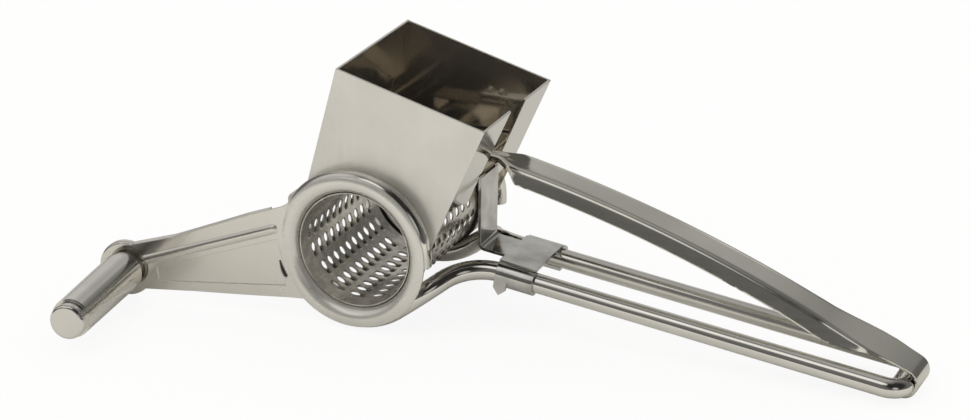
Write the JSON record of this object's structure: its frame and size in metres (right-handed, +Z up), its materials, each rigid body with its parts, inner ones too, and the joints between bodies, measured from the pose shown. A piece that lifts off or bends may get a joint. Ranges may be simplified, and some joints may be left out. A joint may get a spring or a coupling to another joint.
{
  "type": "rotary hand grater",
  "caption": "Hand-held rotary grater: a crank turns a toothed steel drum in a wire frame under a folded sheet hopper with a hinged pusher handle.",
  "frame": {"origin": "middle of the whole object's box, on the surface it stands on", "axes": "+X from the crank knob to the tail bar, +Y from the crank side to the back along the drum axis, +Z up"},
  "size_m": [0.2942, 0.1355, 0.0938],
  "materials": {
    "wire_steel": "bright polished stainless steel wire",
    "sheet_steel": "polished stainless steel sheet",
    "drum_steel": "polished stainless steel sheet, toothed",
    "handle_steel": "polished stainless steel sheet",
    "knob_steel": "fine turned stainless steel",
    "spindle_steel": "plain turned steel"
  },
  "bodies": {
    "frame": {"wire_frame": "wire_steel", "saddle_bracket": "sheet_steel", "hopper_shell": "sheet_steel"},
    "crank": {"crank_plate": "sheet_steel", "drum_shell": "drum_steel", "drum_end_cup": "drum_steel", "knob_spindle": "spindle_steel", "spindle_head": "spindle_steel", "knob_washer": "spindle_steel"},
    "knob": {"knob_sleeve": "knob_steel", "knob_cap": "knob_steel"},
    "handle": {"handle_grip": "handle_steel", "pusher_tray": "sheet_steel", "pusher_bridge": "sheet_steel", "bridge_rivet": "spindle_steel"}
  },
  "joints": [
    {"name": "crank_turn", "type": "hinge", "parent": "frame", "child": "crank", "pos_m": [-0.05109, 0.0313, 0.0293], "axis": [0, 1, 0], "continuous": true},
    {"name": "knob_turn", "type": "hinge", "parent": "crank", "child": "knob", "pos_m": [-0.13677, -0.01294, 0.01077], "axis": [0.1276, -0.9914, 0.0276], "continuous": true},
    {"name": "handle_swing", "type": "hinge", "parent": "frame", "child": "handle", "pos_m": [0.14241, 0.0313, 0.00468], "axis": [0, 1, 0], "range_deg": [0, 100]}
  ]
}
